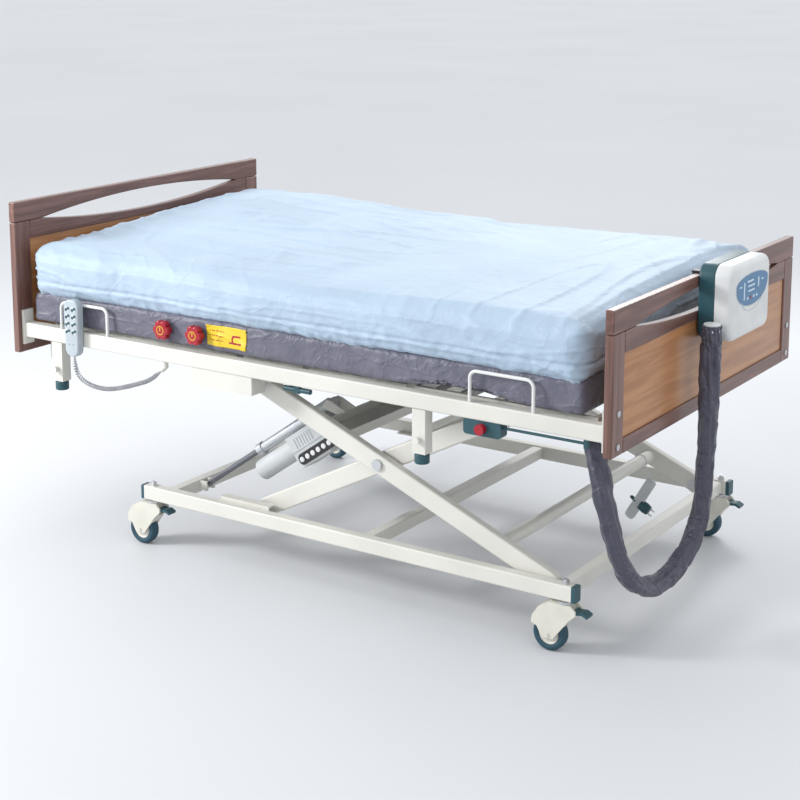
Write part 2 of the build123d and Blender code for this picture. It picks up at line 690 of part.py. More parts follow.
def cord(name, route, radius):
    """A plain tube along a cord's route, with its arcs and its length printed."""
    radii = corner_radii(route)
    with BuildPart() as tube:
        with BuildLine() as path:
            FilletPolyline(*route, radius=radii)
        heading = Vector(*route[1]) - Vector(*route[0])
        with BuildSketch(Plane(origin=route[0], z_dir=heading)):
            Circle(radius)
        sweep(path=path.wires()[0])
    length = path.wires()[0].length
    section_volume = 3.14159 * radius**2 * length
    print(name, "length", round(length), "volume ratio", round(tube.part.volume / section_volume, 4))
    print("   arc radii", [round(value) for value in radii])
    save(tube, name)


cord("hose_sleeve", SLEEVE_ROUTE, SLEEVE_RADIUS)

with BuildPart() as hose_fittings:
    rod((1160, PUMP_Y[0], 872), (1160, -132, 872), 16)
    rod((1160, -150, 835), (1160, -150, 892), 24)
    heading = Vector(*SLEEVE_ROUTE[-1]) - Vector(*SLEEVE_ROUTE[-2])
    tip = Vector(*SLEEVE_ROUTE[-1]) + heading.normalized() * 22
    rod(SLEEVE_ROUTE[-1], (tip.X, tip.Y, tip.Z), 20)
    block((980, 1014), (-575, -556), (648, 662))
save(hose_fittings, "hose_fittings")

# ---------------------------------------------------------------- handset
HANDSET_X = (-857, -793)
with BuildPart() as handset_body:
    block(HANDSET_X, (-644, -621), (620, 806))
    fillet(handset_body.edges().filter_by(Axis.Y), 12)
    fillet(handset_body.faces().sort_by(Axis.Y)[0].edges(), 4)
    block((-840, -810), (-621, -616), (640, 702))
save(handset_body, "handset_body")


cord("handset_cord", CORD_ROUTE, CORD_RADIUS)
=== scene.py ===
from math import cos, exp, pi, radians, sin, sqrt

import bmesh
import bpy
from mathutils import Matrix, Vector, kdtree, noise


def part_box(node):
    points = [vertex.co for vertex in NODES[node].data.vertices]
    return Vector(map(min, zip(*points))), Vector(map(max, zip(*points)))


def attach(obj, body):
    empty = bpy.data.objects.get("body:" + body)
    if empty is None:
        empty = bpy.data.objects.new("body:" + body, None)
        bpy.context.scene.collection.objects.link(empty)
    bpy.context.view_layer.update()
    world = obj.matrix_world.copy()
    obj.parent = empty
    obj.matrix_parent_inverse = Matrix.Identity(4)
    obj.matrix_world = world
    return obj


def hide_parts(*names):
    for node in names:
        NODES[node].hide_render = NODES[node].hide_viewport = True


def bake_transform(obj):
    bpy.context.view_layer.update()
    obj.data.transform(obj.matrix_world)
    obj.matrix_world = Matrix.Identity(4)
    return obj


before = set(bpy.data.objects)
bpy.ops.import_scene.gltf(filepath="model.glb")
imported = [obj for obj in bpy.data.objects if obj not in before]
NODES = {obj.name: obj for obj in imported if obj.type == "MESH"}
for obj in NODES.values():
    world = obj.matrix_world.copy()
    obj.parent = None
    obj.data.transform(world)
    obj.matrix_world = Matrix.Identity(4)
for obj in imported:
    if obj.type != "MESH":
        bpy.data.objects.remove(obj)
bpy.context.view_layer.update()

scene = bpy.context.scene
CORNERS = (1, 2, 3, 4)


# -------- camera
def make_camera():
    """A view from the near foot corner, looking 10.6 degrees below level."""
    data = bpy.data.cameras.new("camera")
    data.sensor_width = 36
    data.lens = 76.34
    data.shift_y = -0.2
    data.clip_end = 200
    camera = bpy.data.objects.new("camera", data)
    scene.collection.objects.link(camera)
    camera.location = (2.9808, -4.4758, 1.9932)
    camera.rotation_euler = (radians(90 - 10.6), 0, radians(33.53))
    scene.camera = camera


make_camera()


# -------- node helpers for materials
class Nodes:
    """A new material with a Principled shader, and short calls for its texture nodes."""

    def __init__(self, name, roughness, metallic=0.0, **sockets):
        self.material = bpy.data.materials.new(name)
        self.material.use_nodes = True
        self.tree = self.material.node_tree
        self.shader = self.tree.nodes["Principled BSDF"]
        self.shader.inputs["Roughness"].default_value = roughness
        self.shader.inputs["Metallic"].default_value = metallic
        for socket, value in sockets.items():
            self.shader.inputs[socket.replace("_", " ")].default_value = value
        self.place = self.add("ShaderNodeTexCoord").outputs["Object"]

    def add(self, kind, **settings):
        node = self.tree.nodes.new(kind)
        for key, value in settings.items():
            setattr(node, key, value)
        return node

    def link(self, start, end):
        self.tree.links.new(start, end)

    def stretched(self, scale):
        mapping = self.add("ShaderNodeMapping")
        mapping.inputs["Scale"].default_value = scale
        self.link(self.place, mapping.inputs["Vector"])
        return mapping.outputs["Vector"]

    def noise(self, scale, detail=3.0, stretch=(1, 1, 1), distortion=0.0):
        node = self.add("ShaderNodeTexNoise")
        node.inputs["Scale"].default_value = scale
        node.inputs["Detail"].default_value = detail
        node.inputs["Distortion"].default_value = distortion
        self.link(self.stretched(stretch), node.inputs["Vector"])
        return node.outputs["Fac"]

    def ramp(self, value, stops):
        node = self.add("ShaderNodeValToRGB")
        elements = node.color_ramp.elements
        while len(elements) < len(stops):
            elements.new(0.5)
        for element, (position, colour) in zip(elements, stops):
            element.position = position
            element.color = (*colour, 1)
        self.link(value, node.inputs["Fac"])
        return node.outputs["Color"]

    def math(self, operation, first, second):
        node = self.add("ShaderNodeMath", operation=operation)
        for socket, value in zip(node.inputs, (first, second)):
            if isinstance(value, (int, float)):
                socket.default_value = value
            else:
                self.link(value, socket)
        return node.outputs["Value"]

    def colour(self, value, stops):
        self.link(self.ramp(value, stops), self.shader.inputs["Base Color"])

    def roughness(self, value, low, high):
        spread = self.math("MULTIPLY", value, high - low)
        self.link(self.math("ADD", spread, low), self.shader.inputs["Roughness"])

    def bump(self, height, distance, strength=1.0):
        node = self.add("ShaderNodeBump")
        node.inputs["Distance"].default_value = distance
        node.inputs["Strength"].default_value = strength
        self.link(height, node.inputs["Height"])
        self.link(node.outputs["Normal"], self.shader.inputs["Normal"])


def shade(colour, factor):
    return tuple(min(1.0, channel * factor) for channel in colour)


# -------- materials
def painted(name, colour, roughness):
    """Powder-coated steel: a faint orange-peel surface with slight marks."""
    made = Nodes(name, roughness, Coat_Weight=0.25, Coat_Roughness=0.25)
    marks = made.noise(5, 6)
    made.colour(marks, [(0.35, shade(colour, 0.93)), (0.62, colour)])
    made.roughness(marks, roughness - 0.08, roughness + 0.14)
    made.bump(made.noise(420, 2), 0.00025, 0.35)
    return made.material


def plastic(name, colour, roughness):
    """Moulded plastic with a fine spark-eroded texture."""
    made = Nodes(name, roughness)
    made.colour(made.noise(12, 4), [(0.3, shade(colour, 0.88)), (0.65, colour)])
    made.roughness(made.noise(30, 4), roughness - 0.08, roughness + 0.1)
    made.bump(made.noise(900, 2), 0.0002, 0.4)
    return made.material


def metal(name, colour, roughness):
    """Plated metal with a fine uneven surface."""
    made = Nodes(name, roughness, metallic=1.0)
    marks = made.noise(160, 4)
    made.colour(marks, [(0.3, shade(colour, 0.85)), (0.7, colour)])
    made.roughness(marks, roughness - 0.08, roughness + 0.12)
    made.bump(marks, 0.0001, 0.3)
    return made.material


def rubber(name, colour):
    made = Nodes(name, 0.6)
    made.colour(made.noise(40, 5), [(0.3, shade(colour, 0.75)), (0.7, shade(colour, 1.1))])
    made.bump(made.noise(500, 3), 0.0003, 0.5)
    return made.material


def wood(name, dark, light, along, gloss):
    """Stained and lacquered wood with its grain along one axis."""
    made = Nodes(name, gloss, Coat_Weight=0.35, Coat_Roughness=0.2)
    long_way, across = 1.6, 26.0
    stretch = tuple(long_way if axis == along else across for axis in "xyz")
    grain = made.noise(1.0, 8, stretch, 1.4)
    pores = made.noise(5.0, 4, stretch)
    mixed = made.math("ADD", made.math("MULTIPLY", grain, 0.75), made.math("MULTIPLY", pores, 0.25))
    made.colour(
        mixed, [(0.30, shade(dark, 0.82)), (0.45, dark), (0.58, light), (0.72, shade(light, 1.08))]
    )
    made.roughness(pores, gloss - 0.05, gloss + 0.16)
    made.bump(pores, 0.0004, 0.35)
    return made.material


def cloth(name, colour, weave, crease, sheen, roughness):
    """Woven fabric with a fine tooth, and with creases where a noise crosses its middle value."""
    made = Nodes(name, roughness, Sheen_Weight=sheen, Sheen_Roughness=0.5)
    tone = made.noise(3.2, 5)
    made.colour(tone, [(0.3, shade(colour, 0.9)), (0.55, colour), (0.72, shade(colour, 1.05))])
    height = made.math("MULTIPLY", made.noise(weave, 2), 0.03)
    for scale, stretch, width, weight in (
        (5.0, (0.8, 1.6, 2.0), 0.045, 1.0),
        (11.0, (1.5, 0.7, 1.4), 0.06, 0.6),
        (24.0, (1, 1, 1), 0.08, 0.28),
    ):
        field = made.noise(scale, 2, stretch, 0.5)
        away = made.math("ABSOLUTE", made.math("SUBTRACT", field, 0.5), 0)
        line = made.math("DIVIDE", made.math("MINIMUM", away, width), width)
        height = made.math("ADD", height, made.math("MULTIPLY", line, -crease * weight))
    made.bump(height, 0.010, 0.8)
    return made.material


CREAM = painted("cream_paint", (0.66, 0.65, 0.595), 0.38)
WHITE_WIRE = painted("white_wire", (0.72, 0.72, 0.70), 0.3)
STEEL = metal("zinc_steel", (0.62, 0.63, 0.65), 0.3)
ALUMINIUM = metal("aluminium_tube", (0.60, 0.62, 0.65), 0.32)
CHROME_ROD = metal("dark_rod", (0.22, 0.23, 0.25), 0.22)
CASTER_CREAM = plastic("caster_cream", (0.66, 0.645, 0.57), 0.4)
TYRE = rubber("tyre_teal", (0.014, 0.060, 0.090))
GREY = plastic("grey_plastic", (0.36, 0.38, 0.40), 0.5)
PALE_GREY = plastic("pale_grey_plastic", (0.55, 0.57, 0.58), 0.45)
DARK_TEAL = plastic("dark_teal_plastic", (0.018, 0.075, 0.095), 0.4)
BLACK = plastic("black_plastic", (0.016, 0.016, 0.018), 0.42)
RED = plastic("red_plastic", (0.36, 0.005, 0.018), 0.28)
WHITE = plastic("white_plastic", (0.70, 0.71, 0.71), 0.3)
PANEL_BLUE = plastic("panel_blue", (0.065, 0.19, 0.35), 0.3)
PANEL_LIGHT = plastic("panel_light", (0.62, 0.74, 0.84), 0.3)
HANDSET = plastic("handset_grey", (0.40, 0.455, 0.49), 0.42)
YELLOW = plastic("label_yellow", (0.72, 0.52, 0.02), 0.45)
FRAME_DARK = (0.120, 0.052, 0.038)
FRAME_LIGHT = (0.190, 0.094, 0.074)
WOOD_RAIL = wood("wood_rail", FRAME_DARK, FRAME_LIGHT, "y", 0.36)
WOOD_STILE = wood("wood_stile", FRAME_DARK, FRAME_LIGHT, "z", 0.36)
WOOD_PANEL = wood("wood_panel", (0.36, 0.150, 0.052), (0.44, 0.205, 0.080), "y", 0.34)
COVER = cloth("cover_blue", (0.375, 0.480, 0.595), 420, 0.09, 0.12, 0.6)
BASE_CLOTH = cloth("base_grey", (0.120, 0.118, 0.160), 480, 0.22, 0.15, 0.5)
SLEEVE = cloth("sleeve_grey", (0.060, 0.060, 0.088), 480, 0.30, 0.1, 0.42)
CORD_GREY = rubber("cord_grey", (0.42, 0.43, 0.45))


# -------- mesh helpers
def add_object(name, data, material=None):
    piece = bpy.data.objects.new(name, data)
    scene.collection.objects.link(piece)
    if material:
        data.materials.append(material)
    return piece


def from_bmesh(name, bm, material):
    mesh = bpy.data.meshes.new(name)
    bmesh.ops.recalc_face_normals(bm, faces=bm.faces)
    bm.to_mesh(mesh)
    bm.free()
    for face in mesh.polygons:
        face.use_smooth = True
    return add_object(name, mesh, material)


def apply_modifiers(piece):
    """Keep the mesh as its modifiers shape it."""
    graph = bpy.context.evaluated_depsgraph_get()
    mesh = bpy.data.meshes.new_from_object(piece.evaluated_get(graph))
    piece.modifiers.clear()
    piece.data = mesh


def bevelled(piece, width, segments=3, angle=35):
    modifier = piece.modifiers.new("bevel", "BEVEL")
    modifier.width = width
    modifier.segments = segments
    modifier.limit_method = "ANGLE"
    modifier.angle_limit = radians(angle)
    modifier.harden_normals = True
    apply_modifiers(piece)
    return piece


def add_prism(bm, points, axis, low, high):
    """A prism whose outline is in the two other axes, in x, y, z order."""
    def place(point, level):
        coordinates = list(point)
        coordinates.insert("xyz".index(axis), level)
        return bm.verts.new(coordinates)

    first = [place(point, low) for point in points]
    last = [place(point, high) for point in points]
    bm.faces.new(first)
    bm.faces.new(last)
    skin(bm, [first, last])


def box_points(first, second):
    return [(first[0], second[0]), (first[1], second[0]), (first[1], second[1]), (first[0], second[1])]


def prism(name, points, axis, low, high, material, bevel):
    bm = bmesh.new()
    add_prism(bm, points, axis, low, high)
    return bevelled(from_bmesh(name, bm, material), bevel)


def rounded_rectangle(centre, size, radius, steps):
    points = []
    for quarter, (sx, sy) in enumerate([(1, 1), (-1, 1), (-1, -1), (1, -1)]):
        corner = (centre[0] + sx * (size[0] / 2 - radius), centre[1] + sy * (size[1] / 2 - radius))
        for step in range(steps + 1):
            angle = (quarter + step / steps) * pi / 2
            points.append((corner[0] + radius * cos(angle), corner[1] + radius * sin(angle)))
    return points


def circle(centre, radius, count):
    return [
        (centre[0] + radius * cos(2 * pi * i / count), centre[1] + radius * sin(2 * pi * i / count))
        for i in range(count)
    ]


def skin(bm, rings):
    """Join each ring of vertices to the next one."""
    for first, second in zip(rings, rings[1:]):
        for i in range(len(first)):
            j = (i + 1) % len(first)
            bm.faces.new((first[i], first[j], second[j], second[i]))


def ring_stack(bm, rings):
    """Skin a stack of rings of points, and close its ends."""
    rows = [[bm.verts.new(point) for point in ring] for ring in rings]
    skin(bm, rows)
    bm.faces.new(rows[0])
    bm.faces.new(rows[-1])


def lathe(bm, profile, origin, axis, count=48):
    """Turn (distance along the axis, radius) points round an axis."""
    turn = Vector((0, 0, 1)).rotation_difference(Vector(axis)).to_matrix()
    rings = []
    for along, radius in profile:
        points = [Vector(origin) + turn @ Vector((x, y, along)) for x, y in circle((0, 0), radius, count)]
        rings.append([bm.verts.new(point) for point in points])
    skin(bm, rings + rings[:1])


def turned(name, profile, origin, axis, material):
    bm = bmesh.new()
    lathe(bm, profile, origin, axis)
    return from_bmesh(name, bm, material)


def disc(profile_radius, height, edge):
    """A closed lathe profile for a button or bolt head with a rounded edge."""
    return [
        (0, 0.0002), (0, profile_radius), (height - edge, profile_radius),
        (height - edge * 0.3, profile_radius - edge * 0.3), (height, profile_radius - edge),
        (height, 0.0002),
    ]


def rounded_layers(low, high, back, front, steps=5):
    """(level, inset) pairs for a slab with a back edge radius and a front edge radius."""
    way = 1 if high > low else -1
    angles = [pi / 2 * i / steps for i in range(steps + 1)]
    rear = [(low + back * (1 - cos(angle)) * way, back * (1 - sin(angle))) for angle in angles]
    return rear + [(high - front * (1 - sin(angle)) * way, front * (1 - cos(angle))) for angle in angles]


def smooth_by_angle(piece, degrees=40):
    piece.data.set_sharp_from_angle(angle=radians(degrees))


def line_of(points, resolution):
    """A smooth open curve with these control points."""
    data = bpy.data.curves.new("line", "CURVE")
    data.dimensions = "3D"
    spline = data.splines.new("NURBS")
    spline.points.add(len(points) - 1)
    for slot, point in zip(spline.points, points):
        slot.co = (*point, 1)
    spline.order_u = 3
    spline.use_endpoint_u = True
    spline.resolution_u = resolution
    data.resolution_u = resolution
    return data


def read_line(data):
    """The points down the middle of a curve that has no bevel."""
    bare = bpy.data.objects.new("bare", data)
    mesh = bpy.data.meshes.new_from_object(bare)
    points = [vertex.co.copy() for vertex in mesh.vertices]
    bpy.data.objects.remove(bare)
    bpy.data.meshes.remove(mesh)
    return points


def length_of(points):
    return sum((b - a).length for a, b in zip(points, points[1:]))


def even(points, count):
    """The same line with a number of evenly spaced points."""
    result = [points[0].copy()]
    walked = 0.0
    target = length_of(points) / (count - 1)
    for a, b in zip(points, points[1:]):
        step = (b - a).length
        while walked + step >= target * len(result) and len(result) < count - 1:
            share = (target * len(result) - walked) / step
            result.append(a.lerp(b, share))
        walked += step
    result.append(points[-1].copy())
    return result


def frames_along(points):
    """A steady pair of cross directions at each point of a line."""
    tangents = [
        (points[min(i + 1, len(points) - 1)] - points[max(i - 1, 0)]).normalized()
        for i in range(len(points))
    ]
    side = tangents[0].orthogonal().normalized()
    result = []
    for before, tangent in zip([tangents[0]] + tangents, tangents):
        side = before.rotation_difference(tangent) @ side
        side = (side - tangent * side.dot(tangent)).normalized()
        result.append((side, tangent.cross(side)))
    return result


def tube_mesh(name, points, radius_at, count, material):
    """A closed tube round a line; radius_at(index, angle) gives its surface."""
    angles = [2 * pi * k / count for k in range(count)]
    rings = []
    for i, (point, (side, up)) in enumerate(zip(points, frames_along(points))):
        rings.append([point + (side * cos(a) + up * sin(a)) * radius_at(i, a) for a in angles])
    bm = bmesh.new()
    ring_stack(bm, rings)
    return from_bmesh(name, bm, material)


def wire(name, points, radius, material):
    data = line_of(points, 12)
    data.bevel_depth = radius
    data.bevel_resolution = 4
    data.use_fill_caps = True
    return add_object(name, data, material)


# -------- cords
SLEEVE_DIAMETER = 0.056
SLEEVE_ROUTE = [
    (1.160, -0.150, 0.835), (1.160, -0.150, 0.650), (1.142, -0.128, 0.450), (1.128, -0.118, 0.280),
    (1.108, -0.240, 0.175), (1.092, -0.415, 0.172), (1.072, -0.528, 0.292), (1.036, -0.545, 0.460),
    (0.998, -0.540, 0.630),
]
CUFF_TOP = Vector((1.160, -0.150, 0.888))
CUFF_RADIUS = 0.0272


def make_sleeve():
    """A crumpled fabric sleeve over the two air hoses."""
    line = even(read_line(line_of(SLEEVE_ROUTE, 24)), 420)
    length = length_of(line)

    def radius_at(i, angle):
        along = i / len(line) * length
        twist = angle + along * 2.2
        long_folds = noise.noise(Vector((cos(twist) * 2.1, sin(twist) * 2.1, along * 5.5)))
        dents = noise.noise(Vector((cos(twist) * 1.2, sin(twist) * 1.2, along * 21 + 7)))
        crumple = max(0.0, 1 - 7 * abs(noise.noise(Vector((cos(angle), sin(angle), along * 13 + 3)))))
        flat = 0.0030 * cos(2 * angle + along * 6)
        return SLEEVE_DIAMETER / 2 + flat + 0.0062 * long_folds + 0.0044 * dents - 0.0030 * crumple

    sleeve = tube_mesh("hose_sleeve_fabric", line, radius_at, 56, SLEEVE)
    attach(sleeve, "upper_frame")
    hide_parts("hose_sleeve")


def make_cuff():
    """The gathered end of the sleeve, tied over the pump's hose fitting."""
    line = [CUFF_TOP.lerp(Vector(SLEEVE_ROUTE[0]), step / 30) for step in range(33)]

    def radius_at(i, angle):
        gather = 0.0016 * cos(13 * angle + i * 0.12) + 0.0012 * cos(5 * angle + i * 0.3)
        tie = 0.0020 * exp(-(((i - 8) / 2.2) ** 2))
        crumple = 0.0012 * noise.noise(Vector((cos(angle) * 2, sin(angle) * 2, i * 0.15)))
        return CUFF_RADIUS + gather - tie + crumple

    cuff = tube_mesh("sleeve_cuff", line, radius_at, 72, SLEEVE)
    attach(cuff, "upper_frame")


CORD_ROUTE = [
    (-0.825, -0.632, 0.620), (-0.825, -0.632, 0.578), (-0.798, -0.631, 0.545), (-0.748, -0.628, 0.528),
    (-0.690, -0.624, 0.527), (-0.632, -0.619, 0.541), (-0.574, -0.613, 0.560), (-0.520, -0.606, 0.580),
    (-0.482, -0.600, 0.616),
]
WIRE_DIAMETER = 0.0046
COIL_RADIUS = 0.0057
COIL_PITCH = 0.0082
POINTS_A_TURN = 12


def make_handset_cord():
    """A curly cord: its helix follows the smooth line of its route."""
    axis = even(read_line(line_of(CORD_ROUTE, 24)), 900)
    length = length_of(axis)
    turns = int(length / COIL_PITCH)
    crosses = frames_along(axis)
    helix = [axis[0]]
    total = turns * POINTS_A_TURN
    for i in range(total + 1):
        share = i / total
        at = min(len(axis) - 1, round(share * (len(axis) - 1)))
        side, up = crosses[at]
        angle = 2 * pi * i / POINTS_A_TURN
        swell = COIL_RADIUS * min(1.0, 12 * share + 0.1, 12 * (1 - share) + 0.1)
        helix.append(axis[at] + (side * cos(angle) + up * sin(angle)) * swell)
    helix.append(axis[-1])
    data = line_of(helix, 3)
    helix_length = length_of(read_line(data.copy()))
    curl = add_object("handset_curly_cord", data, CORD_GREY)
    data.bevel_depth = WIRE_DIAMETER / 2
    data.bevel_resolution = 2
    data.use_fill_caps = True
    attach(curl, "upper_frame")
    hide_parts("handset_cord")


make_sleeve()
make_cuff()
make_handset_cord()


# -------- carried-over CAD nodes
CAD_FINISH = {
    CREAM: (
        "base_side_rails", "base_crossbars", "outer_scissor_frame", "inner_scissor_frame", "side_rails",
        "frame_crossbars", "frame_sockets", "board_brackets", "seat_section", "backrest_section",
        "thigh_section", "leg_section",
    ),
    DARK_TEAL: (
        "base_end_caps", "release_housing", "clamp_knobs", *(f"brake_pedal_{n}" for n in CORNERS),
    ),
    STEEL: (
        "arm_base_pins", "caster_stems", "crossing_bolts", "board_bolts", "back_actuator_rod",
        "leg_actuator_rod",
    ),
    BLACK: ("top_slide_pads", "base_slide_pads", "pump_hooks"),
    CHROME_ROD: ("lift_actuator_rod",),
    ALUMINIUM: ("lift_actuator_tube",),
    PALE_GREY: ("lift_motor_housing", "back_actuator_body", "leg_actuator_body", "pump_compressor"),
    WHITE_WIRE: ("mattress_hoops",),
    RED: ("leg_release_knob", "valve_knob_1", "valve_knob_2"),
    CASTER_CREAM: tuple(f"caster_fork_{n}" for n in CORNERS),
    WHITE: ("hose_fittings",),
}
for finish, names in CAD_FINISH.items():
    for name in names:
        for material_slot in NODES[name].material_slots:
            material_slot.material = finish


# -------- boards
STILE = 0.068
TOP_RAIL = 0.067
SECOND_RAIL = 0.060
BOTTOM_RAIL = 0.042
HANDLE_HALF = 0.510
HANDLE_RISE = 0.035
JOINT_GAP = 0.0006
PANEL_HALF_THICK = 0.007
PANEL_BORDER = 0.016
PANEL_SINK = 0.0022


def handle_arc(joint, rise, count=36):
    """Points of one side of the lens-shaped hand opening, from -y to +y."""
    radius = (HANDLE_HALF**2 + rise**2) / (2 * abs(rise))
    points = []
    for i in range(count + 1):
        y = -HANDLE_HALF + 2 * HANDLE_HALF * i / count
        height = sqrt(radius**2 - y**2) - (radius - abs(rise))
        points.append((y, joint + (height if rise > 0 else -height)))
    return points


def board_rails(name, low, high):
    """The top rail and the rail under it, with the hand opening between them, and the bottom rail."""
    joint = high.z - TOP_RAIL
    inner = high.y - STILE - JOINT_GAP
    outlines = (
        [(-high.y, high.z), (-high.y, joint + JOINT_GAP)] + handle_arc(joint, HANDLE_RISE)
        + [(high.y, joint + JOINT_GAP), (high.y, high.z)],
        [(-inner, joint - SECOND_RAIL), (-inner, joint - JOINT_GAP)] + handle_arc(joint, -HANDLE_RISE)
        + [(inner, joint - JOINT_GAP), (inner, joint - SECOND_RAIL)],
        box_points((-inner, inner), (low.z, low.z + BOTTOM_RAIL)),
    )
    rails = bmesh.new()
    for outline in outlines:
        add_prism(rails, outline, "x", low.x, high.x)
    return bevelled(from_bmesh(name + "_rails", rails, WOOD_RAIL), 0.0035)


def board_stiles(name, low, high):
    stiles = bmesh.new()
    for side in (-1, 1):
        span = sorted((side * (high.y - STILE), side * high.y))
        top = high.z - TOP_RAIL - JOINT_GAP
        add_prism(stiles, box_points(span, (low.z, top)), "x", low.x, high.x)
    return bevelled(from_bmesh(name + "_stiles", stiles, WOOD_STILE), 0.004, 4)


def board_panel(name, low, high):
    """A panel whose middle lies back from its border on both faces."""
    middle = (low.x + high.x) / 2
    faces_x = (middle - PANEL_HALF_THICK, middle + PANEL_HALF_THICK)
    inner = high.y - STILE
    panel = bmesh.new()
    panel_z = (low.z + BOTTOM_RAIL, high.z - TOP_RAIL - SECOND_RAIL)
    add_prism(panel, box_points((-inner, inner), panel_z), "x", *faces_x)
    for face_x in faces_x:
        for face in [f for f in panel.faces if all(abs(v.co.x - face_x) < 1e-6 for v in f.verts)]:
            bmesh.ops.inset_individual(panel, faces=[face], thickness=PANEL_BORDER, depth=PANEL_SINK)
    return bevelled(from_bmesh(name + "_inset_panel", panel, WOOD_PANEL), 0.001, 2, 20)


def make_board(name):
    low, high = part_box(name + "_frame")
    for piece, node, slot in (
        (board_rails(name, low, high), name + "_frame", "wood_frame"),
        (board_stiles(name, low, high), name + "_frame", "wood_frame"),
        (board_panel(name, low, high), name + "_panel", "wood_panel"),
    ):
        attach(piece, "upper_frame")
        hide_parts(node)


make_board("headboard")
make_board("footboard")


# -------- mattress
MATTRESS_X = (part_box("mattress_back")[0].x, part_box("mattress_leg")[1].x)
MATTRESS_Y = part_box("mattress_seat")[1].y
MATTRESS_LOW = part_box("mattress_seat")[0].z
COVER_HEM = 0.786
COVER_TOP = 0.970
SEAM_Z = 0.846
COVER_INSET = 0.002
BASE_INSET = 0.006
EDGE_ZONE = 0.055
KNOB_STRETCH = (-0.66, -0.22)
KNOB_ROOM = 0.011
# The soft layers are cut where both parts follow the same body: name, two bodies, two cuts
SOFT_PARTS = (
    ("head", "backrest", "upper_frame", None, -0.045),
    ("middle", "upper_frame", "thigh", -0.045, 0.240),
    ("foot", "thigh", "leg", 0.240, None),
)


def grid_box(low, high, spacing, radius):
    """A closed box of even grids with rounded edges."""
    bm = bmesh.new()
    size = [high[i] - low[i] for i in range(3)]
    cuts = [max(2, round(size[i] / spacing[i])) for i in range(3)]
    found = {}

    def vertex(index):
        if index not in found:
            point = Vector([low[i] + size[i] * index[i] / cuts[i] for i in range(3)])
            core = Vector([min(max(point[i], low[i] + radius[i]), high[i] - radius[i]) for i in range(3)])
            out = Vector([(point[i] - core[i]) / radius[i] for i in range(3)])
            if out.length > 1e-9:
                reach = out.normalized() * max(abs(value) for value in out)
                point = Vector([core[i] + reach[i] * radius[i] for i in range(3)])
            found[index] = bm.verts.new(point)
        return found[index]

    for axis in range(3):
        first, second = [i for i in range(3) if i != axis]
        for level in (0, cuts[axis]):
            for a in range(cuts[first]):
                for b in range(cuts[second]):
                    corners = []
                    for da, db in ((0, 0), (1, 0), (1, 1), (0, 1)):
                        index = [0, 0, 0]
                        index[axis] = level
                        index[first] = a + da
                        index[second] = b + db
                        corners.append(vertex(tuple(index)))
                    bm.faces.new(corners)
    return bm


def ramp_up(value, start, width):
    """0 up to start, then rising to 1 over a width."""
    return min(1.0, max(0.0, (value - start) / width))


def hump(x, y, centre, size):
    """One round swell that is 1 at its centre."""
    return exp(-(((x - centre[0]) / size[0]) ** 2) - ((y - centre[1]) / size[1]) ** 2)


# Swells and hollows of the cover's top: height, centre and size
TOP_SWELLS = (
    (0.026, (-0.72, 0.35), (0.38, 0.42)),
    (-0.012, (0.12, -0.62), (0.30, 0.35)),
    (-0.010, (0.15, 0.10), (0.30, 0.55)),
    (0.012, (0.75, 0.20), (0.30, 0.50)),
)


def cover_top(x, y):
    """Height of the cover's top over the bed."""
    across = y / MATTRESS_Y
    level = 0.958 + 0.020 * (1 - across * across) + 0.014 * across
    for height, centre, size in TOP_SWELLS:
        level += height * hump(x, y, centre, size)
    ripple = noise.noise(Vector((x * 1.5, y * 2.6, 3.0)))
    ribs = noise.noise(Vector((x * 7.0, y * 1.2, 9.0)))
    return level + 0.007 * ripple + 0.0035 * ribs


def ridges(point, scale, seed, sharp=5):
    """Creases: raised lines where noise crosses zero, thin where sharp is high."""
    value = noise.noise(Vector((point.x * scale[0], point.y * scale[1], point.z * scale[2] + seed)))
    return max(0.0, 1 - abs(value) * sharp)


def side_bulge(x, y, z):
    """How far the hanging side of the cover stands out from its flat place."""
    along = x if abs(y) > MATTRESS_Y - 0.06 else y
    height = (z - COVER_HEM) / (COVER_TOP - COVER_HEM)
    lower = max(0.0, 1 - height * 1.7)
    swell = 0.006 * noise.noise(Vector((along * 4.5, z * 4, 1.0)))
    folds = 0.005 * noise.noise(Vector((along * 13 + z * 5, z * 4, 5.0)))
    tucks = 0.0045 * lower * noise.noise(Vector((along * 34, z * 4, 9.0)))
    pulled = 0.55 + 0.45 * noise.noise(Vector((along * 1.7, 2.0, 2.0)))
    slanted = ridges(Vector((along + z * 1.5, 0.0, z * 0.6)), (8, 1, 8), 2.0, 8)
    upright = ridges(Vector((along - z * 0.5, 0.0, z * 0.4)), (13, 1, 9), 4.0, 10)
    level = ridges(Vector((along * 0.35, 0.0, z * 1.5)), (9, 1, 12), 6.0, 9)
    creases = 0.0100 * slanted * (0.3 + lower) + 0.0060 * upright * (0.2 + lower) + 0.0070 * level
    seam_z = SEAM_Z + 0.004 * noise.noise(Vector((along * 2, 0, 0)))
    seam = 0.0085 * max(0.0, 1 - abs(z - seam_z) / 0.0080)
    return 0.003 + swell + folds + tucks + creases * pulled - seam


